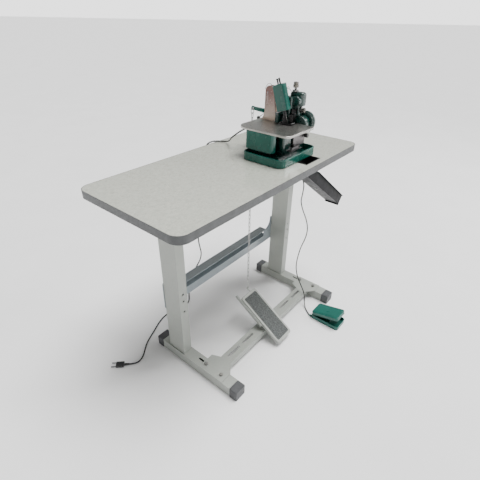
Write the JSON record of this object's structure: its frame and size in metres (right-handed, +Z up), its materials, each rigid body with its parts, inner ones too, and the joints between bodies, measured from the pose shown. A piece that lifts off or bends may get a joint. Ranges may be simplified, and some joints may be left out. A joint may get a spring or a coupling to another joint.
{
  "type": "overlock sewing machine",
  "caption": "Small overlock sewing machine on a laminate worktable with a T-leg stand, presser-lift treadle, scrap chute and speed pedal.",
  "frame": {"origin": "on the floor under the middle of the footprint, cords left out", "axes": "+X to the operator's right along the table, +Y away from the operator, +Z up"},
  "size_m": [1.1246, 0.6907, 1.0287],
  "materials": {
    "tabletop_laminate": "pale grey laminate, fine mottle, glossy",
    "edge_band_pvc": "grey, satin",
    "frame_paint": "pale grey-green powder coat",
    "cap_plastic": "dark grey moulded",
    "zinc_steel": "zinc plated",
    "chute_paint": "gloss black on sheet steel",
    "mat_rubber": "dark grey grained rubber",
    "black_rubber": "black",
    "black_plastic": "black moulded",
    "green_enamel": "glossy green enamel",
    "dark_green_casting": "green enamel on casting",
    "plate_steel": "ground steel, satin",
    "panel_steel": "blued steel, satin",
    "polished_steel": "polished",
    "dark_steel": "blackened, oiled",
    "knob_nickel": "nickel plated",
    "motor_black": "black",
    "pulley_aluminium": "turned",
    "guard_smoke": "smoky brown translucent plastic",
    "pedal_plastic": "green moulded",
    "cord_pvc": "black pvc"
  },
  "bodies": {
    "stand_and_machine": {"table_top": "tabletop_laminate", "edge_band": "edge_band_pvc", "left_foot": "frame_paint", "right_foot": "frame_paint", "left_column": "frame_paint", "right_column": "frame_paint", "crossbar": "frame_paint", "treadle_beam": "frame_paint", "treadle_bracket": "frame_paint", "foot_end_caps": "cap_plastic", "fasteners": "zinc_steel", "pedal_pins": "zinc_steel", "scrap_chute": "chute_paint", "scrap_hole_liner": "chute_paint", "tray_pads": "black_rubber", "pedal_cord_gland": "black_rubber", "mains_cord_gland": "black_rubber", "drive_belt": "black_rubber", "chain_bushing": "black_plastic", "mains_plug": "black_plastic", "base_tray": "green_enamel", "left_cover": "green_enamel", "head_cover": "green_enamel", "machine_body": "dark_green_casting", "arm_casting": "dark_green_casting", "cloth_plate": "plate_steel", "front_panel": "panel_steel", "scrap_guide": "panel_steel", "throat_plate": "polished_steel", "lower_knife": "polished_steel", "tension_posts": "polished_steel", "thread_guides": "polished_steel", "motor": "motor_black", "motor_bracket": "motor_black", "rear_guard": "guard_smoke", "speed_pedal_base": "pedal_plastic", "mains_cord": "cord_pvc", "pedal_cord": "cord_pvc"},
    "treadle": {"treadle_frame": "frame_paint", "treadle_mat": "mat_rubber", "treadle_arm": "frame_paint"},
    "chain": {"lift_chain": "zinc_steel"},
    "lifter": {"lifter_shaft": "polished_steel", "lifter_lever": "green_enamel", "hand_lever_knob": "black_plastic"},
    "presser": {"presser_bar": "dark_steel", "presser_foot": "dark_steel"},
    "needle_drive": {"needle_bar": "dark_steel", "needle": "polished_steel"},
    "feed": {"feed_dog": "polished_steel"},
    "lower_looper_arm": {"lower_looper": "polished_steel"},
    "upper_looper_arm": {"upper_looper": "polished_steel"},
    "knife": {"upper_knife": "dark_steel"},
    "wheel": {"main_shaft": "polished_steel", "handwheel": "dark_green_casting"},
    "rotor": {"motor_pulley": "pulley_aluminium"},
    "top_tension": {"top_tension_knob": "knob_nickel"},
    "front_tension": {"front_tension_knob": "knob_nickel"},
    "stitch": {"stitch_knob": "black_plastic"},
    "speed_plate": {"speed_pedal_plate": "pedal_plastic"}
  },
  "joints": [
    {"name": "treadle_tilt", "type": "hinge", "parent": "stand_and_machine", "child": "treadle", "pos_m": [-0.021, -0.076, 0.074], "axis": [1, 0, 0], "range_deg": [-14, 0], "stiffness_Nm_per_rad": 3, "springref_deg": 6.88},
    {"name": "chain_swing", "type": "hinge", "parent": "treadle", "child": "chain", "pos_m": [-0.005, 0.039, 0.175], "axis": [1, 0, 0], "range_deg": [0, 17]},
    {"name": "lifter_turn", "type": "hinge", "parent": "stand_and_machine", "child": "lifter", "pos_m": [0.258, 0.184, 0.882], "axis": [0, 1, 0], "range_deg": [-18.5, 0]},
    {"name": "presser_lift", "type": "slide", "parent": "stand_and_machine", "child": "presser", "axis": [0, 0.3206, 0.9472], "range_m": [0, 0.0056]},
    {"name": "needle_stroke", "type": "slide", "parent": "stand_and_machine", "child": "needle_drive", "axis": [0, 0.3206, 0.9472], "range_m": [-0.021, 0]},
    {"name": "feed_travel", "type": "slide", "parent": "stand_and_machine", "child": "feed", "axis": [0, 1, 0], "range_m": [-0.0041, 0]},
    {"name": "lower_looper_swing", "type": "hinge", "parent": "stand_and_machine", "child": "lower_looper_arm", "pos_m": [0.134, 0.054, 0.81], "axis": [0, 0, 1], "range_deg": [-13, 0]},
    {"name": "upper_looper_swing", "type": "hinge", "parent": "stand_and_machine", "child": "upper_looper_arm", "pos_m": [0.216, 0.06, 0.81], "axis": [0, 0, 1], "range_deg": [0, 9]},
    {"name": "knife_stroke", "type": "slide", "parent": "stand_and_machine", "child": "knife", "axis": [0, 0, 1], "range_m": [-0.0073, 0]},
    {"name": "handwheel_spin", "type": "hinge", "parent": "stand_and_machine", "child": "wheel", "pos_m": [0.276, -0.006, 0.868], "axis": [1, 0, 0], "continuous": true},
    {"name": "motor_spin", "type": "hinge", "parent": "stand_and_machine", "child": "rotor", "pos_m": [0.264, 0.16, 0.8], "axis": [1, 0, 0], "continuous": true},
    {"name": "top_tension_turn", "type": "hinge", "parent": "stand_and_machine", "child": "top_tension", "pos_m": [0.244, 0.034, 1.002], "axis": [0, 0, 1], "range_deg": [-180, 180]},
    {"name": "front_tension_turn", "type": "hinge", "parent": "stand_and_machine", "child": "front_tension", "pos_m": [0.241, -0.011, 0.916], "axis": [0, 1, 0], "range_deg": [-180, 180]},
    {"name": "stitch_knob_turn", "type": "hinge", "parent": "stand_and_machine", "child": "stitch", "pos_m": [0.245, -0.032, 0.824], "axis": [0, 1, 0], "range_deg": [-150, 150]},
    {"name": "speed_press", "type": "hinge", "parent": "stand_and_machine", "child": "speed_plate", "pos_m": [0.225, -0.208, 0.023], "axis": [1, 0, 0], "range_deg": [0, 11], "stiffness_Nm_per_rad": 1.2, "springref_deg": -14.32}
  ],
  "couplings": [
    {"joint": "chain_swing", "follows": "treadle_tilt", "ratio": -1.125},
    {"joint": "lifter_turn", "follows": "treadle_tilt", "ratio": 1.2857},
    {"joint": "presser_lift", "follows": "treadle_tilt", "m_per_rad": -0.02251},
    {"joint": "feed_travel", "follows": "needle_stroke", "ratio": 0.1905},
    {"joint": "lower_looper_swing", "follows": "needle_stroke", "rad_per_m": 9.973},
    {"joint": "upper_looper_swing", "follows": "needle_stroke", "rad_per_m": -6.649},
    {"joint": "knife_stroke", "follows": "needle_stroke", "ratio": 0.34},
    {"joint": "motor_spin", "follows": "handwheel_spin", "ratio": 3.4}
  ]
}
